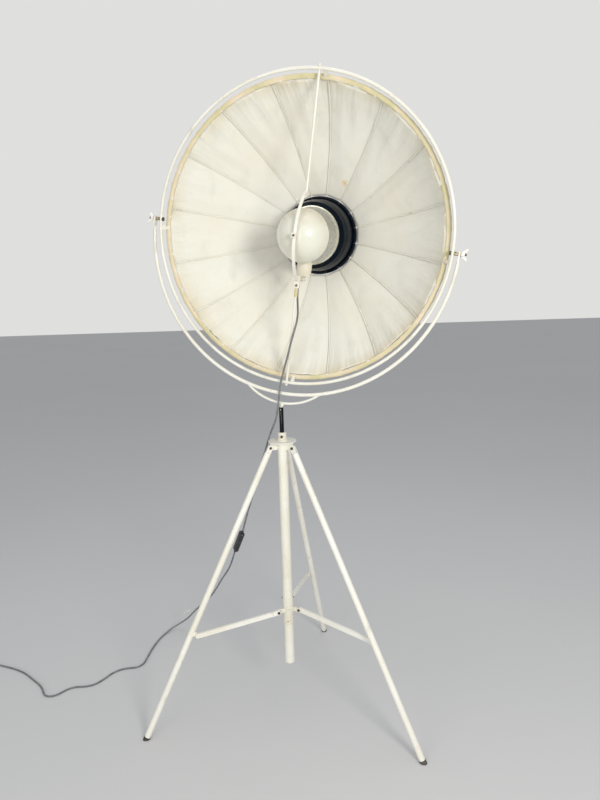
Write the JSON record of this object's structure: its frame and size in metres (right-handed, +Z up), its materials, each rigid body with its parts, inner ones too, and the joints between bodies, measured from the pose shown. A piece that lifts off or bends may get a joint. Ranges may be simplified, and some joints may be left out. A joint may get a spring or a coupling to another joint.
{
  "type": "floor lamp",
  "caption": "Tripod floor lamp with a tilting cloth dish on a ring, an indirect bulb behind a bowl shield, a telescoping mast and folding legs",
  "frame": {"origin": "on the floor, on the axis of the post", "axes": "+Z up along the post, +X to the right and +Y away from a viewer in front of the lamp; the legs, the lean and the yaw stand as pictured"},
  "size_m": [1.8762, 0.8386, 2.0407],
  "materials": {
    "cream_paint": "semi-gloss cream paint, lightly worn",
    "black_rod": "gloss black, scratched",
    "black_bell": "gloss black enamel",
    "reflector": "satin spun aluminium",
    "steel": "dull zinc-plated steel",
    "dark_screw": "dark oxidised steel",
    "brass": "dull brass",
    "nut_white": "white paint",
    "dish_cloth": "matt off-white technical cloth",
    "foot_rubber": "matt black rubber",
    "cord_grey": "matt grey cord sheath",
    "black_plastic": "smooth black plastic",
    "holder_cream": "cream plastic",
    "pin_metal": "plated brass",
    "opal_glass": "opal glass"
  },
  "bodies": {
    "stand": {"post_tube": "cream_paint", "post_end_cap": "cream_paint", "top_disc": "cream_paint", "top_collar": "cream_paint", "leg_lugs": "cream_paint", "leg_hinge_screws": "dark_screw", "cord_hang": "cord_grey", "cord_fall": "cord_grey", "cord_floor": "cord_grey", "cord_coil": "cord_grey", "plug_body": "black_plastic", "plug_pins": "pin_metal", "switch_body": "black_plastic"},
    "mast_screw": {"mast_clamp_screw": "dark_screw"},
    "leg_a": {"leg_tube_1": "cream_paint", "leg_foot_1": "foot_rubber"},
    "leg_b": {"leg_tube_2": "cream_paint", "leg_foot_2": "foot_rubber"},
    "leg_c": {"leg_tube_3": "cream_paint", "leg_foot_3": "foot_rubber"},
    "collar": {"slide_collar": "cream_paint", "collar_pins": "dark_screw", "collar_set_screws": "dark_screw"},
    "collar_screw": {"collar_clamp_screw": "cream_paint"},
    "strut_a": {"strut_1": "cream_paint"},
    "strut_b": {"strut_2": "cream_paint"},
    "strut_c": {"strut_3": "cream_paint"},
    "bush": {"mast_bush": "holder_cream"},
    "mast": {"mast_rod": "black_rod", "lean_pin": "steel"},
    "yoke": {"yoke_arc": "cream_paint", "yoke_brace": "cream_paint"},
    "head": {"outer_ring": "cream_paint", "rim_hoop": "cream_paint", "ring_clips": "cream_paint", "dish_ribs": "cream_paint", "dish_fabric": "dish_cloth", "hub_ring": "black_bell", "hub_rivets": "steel", "hub_bell": "black_bell", "hub_reflector": "reflector", "upper_rod": "cream_paint", "lower_rod": "cream_paint", "shield_strap": "cream_paint", "lower_clamp": "cream_paint", "shield_clamp": "cream_paint", "rod_clamp_screws": "dark_screw", "lamp_holder": "holder_cream", "holder_relief": "holder_cream", "cord_head": "cord_grey", "pivot_bolt_left": "dark_screw", "pivot_bolt_right": "dark_screw", "pivot_washers_left": "brass", "pivot_washers_right": "brass"},
    "nut_left": {"wing_nut_left": "nut_white"},
    "nut_right": {"wing_nut_right": "nut_white"},
    "shield": {"bulb_shield": "cream_paint"},
    "bulb": {"bulb_cap": "pin_metal", "bulb_glass": "opal_glass"},
    "switch_key": {"switch_slider": "black_plastic"}
  },
  "joints": [
    {"name": "fold_leg_a", "type": "hinge", "parent": "stand", "child": "leg_a", "pos_m": [-0.03951, -0.01096, 0.926], "axis": [0.2672, -0.9636, 0], "range_deg": [0, 23.36]},
    {"name": "fold_leg_b", "type": "hinge", "parent": "stand", "child": "leg_b", "pos_m": [0.03274, -0.02467, 0.926], "axis": [0.6018, 0.7986, 0], "range_deg": [0, 23.36]},
    {"name": "fold_leg_c", "type": "hinge", "parent": "stand", "child": "leg_c", "pos_m": [0.01233, 0.0391, 0.926], "axis": [-0.9537, 0.3007, 0], "range_deg": [0, 23.36]},
    {"name": "collar_slide", "type": "slide", "parent": "stand", "child": "collar", "axis": [0, 0, 1], "range_m": [0, 0.18548]},
    {"name": "strut_turn_a", "type": "hinge", "parent": "collar", "child": "strut_a", "pos_m": [-0.03261, -0.02461, 0.364], "axis": [0.2672, -0.9636, 0], "range_deg": [0, 80.96]},
    {"name": "strut_turn_b", "type": "hinge", "parent": "collar", "child": "strut_b", "pos_m": [0.03938, -0.01089, 0.364], "axis": [0.6018, 0.7986, 0], "range_deg": [0, 80.96]},
    {"name": "strut_turn_c", "type": "hinge", "parent": "collar", "child": "strut_c", "pos_m": [-0.00288, 0.04075, 0.364], "axis": [-0.9537, 0.3007, 0], "range_deg": [0, 80.96]},
    {"name": "mast_slide", "type": "slide", "parent": "stand", "child": "bush", "axis": [0, 0, 1], "range_m": [-0.055, 0.38], "deforming": ["cord_hang"]},
    {"name": "mast_yaw", "type": "hinge", "parent": "bush", "child": "mast", "pos_m": [0, 0, 1], "axis": [0, 0, 1], "range_deg": [-165, 165], "deforming": ["cord_hang"]},
    {"name": "yoke_lean", "type": "hinge", "parent": "mast", "child": "yoke", "pos_m": [0, 0, 1.048], "axis": [0.304, 0.9527, 0], "range_deg": [-25, 10], "deforming": ["cord_hang"]},
    {"name": "head_tilt", "type": "hinge", "parent": "yoke", "child": "head", "pos_m": [0.06986, -0.02229, 1.58148], "axis": [0.9408, -0.3002, -0.1573], "range_deg": [-85, 85], "deforming": ["cord_hang"]},
    {"name": "wing_nut_left_turn", "type": "hinge", "parent": "head", "child": "nut_left", "pos_m": [-0.38549, 0.12302, 1.65761], "axis": [-0.9408, 0.3002, 0.1573], "range_deg": [-180, 180]},
    {"name": "wing_nut_right_turn", "type": "hinge", "parent": "head", "child": "nut_right", "pos_m": [0.52521, -0.16761, 1.50535], "axis": [0.9408, -0.3002, -0.1573], "range_deg": [-180, 180]},
    {"name": "mast_screw_turn", "type": "hinge", "parent": "stand", "child": "mast_screw", "pos_m": [-0.00074, -0.00736, 0.962], "axis": [-0.0995, -0.995, 0], "range_deg": [-180, 180]},
    {"name": "collar_screw_turn", "type": "hinge", "parent": "collar", "child": "collar_screw", "pos_m": [0, -0.0164, 0.366], "axis": [0, -1, 0], "range_deg": [-180, 180]},
    {"name": "shield_turn", "type": "hinge", "parent": "head", "child": "shield", "pos_m": [0.05586, -0.09957, 1.57532], "axis": [-0.3122, -0.9483, -0.0568], "range_deg": [-180, 180]},
    {"name": "bulb_turn", "type": "hinge", "parent": "head", "child": "bulb", "pos_m": [0.08861, 0.04213, 1.49439], "axis": [0.1321, -0.1026, 0.9859], "range_deg": [0, 180]},
    {"name": "switch_slide", "type": "slide", "parent": "stand", "child": "switch_key", "axis": [-0.335, 0.335, -0.8806], "range_m": [0, 0.008]}
  ],
  "couplings": [
    {"joint": "fold_leg_b", "follows": "fold_leg_a", "ratio": 1},
    {"joint": "fold_leg_c", "follows": "fold_leg_a", "ratio": 1},
    {"joint": "collar_slide", "follows": "fold_leg_a", "m_per_rad": 0.45484},
    {"joint": "strut_turn_a", "follows": "fold_leg_a", "ratio": 3.465},
    {"joint": "strut_turn_b", "follows": "fold_leg_a", "ratio": 3.465},
    {"joint": "strut_turn_c", "follows": "fold_leg_a", "ratio": 3.465}
  ]
}
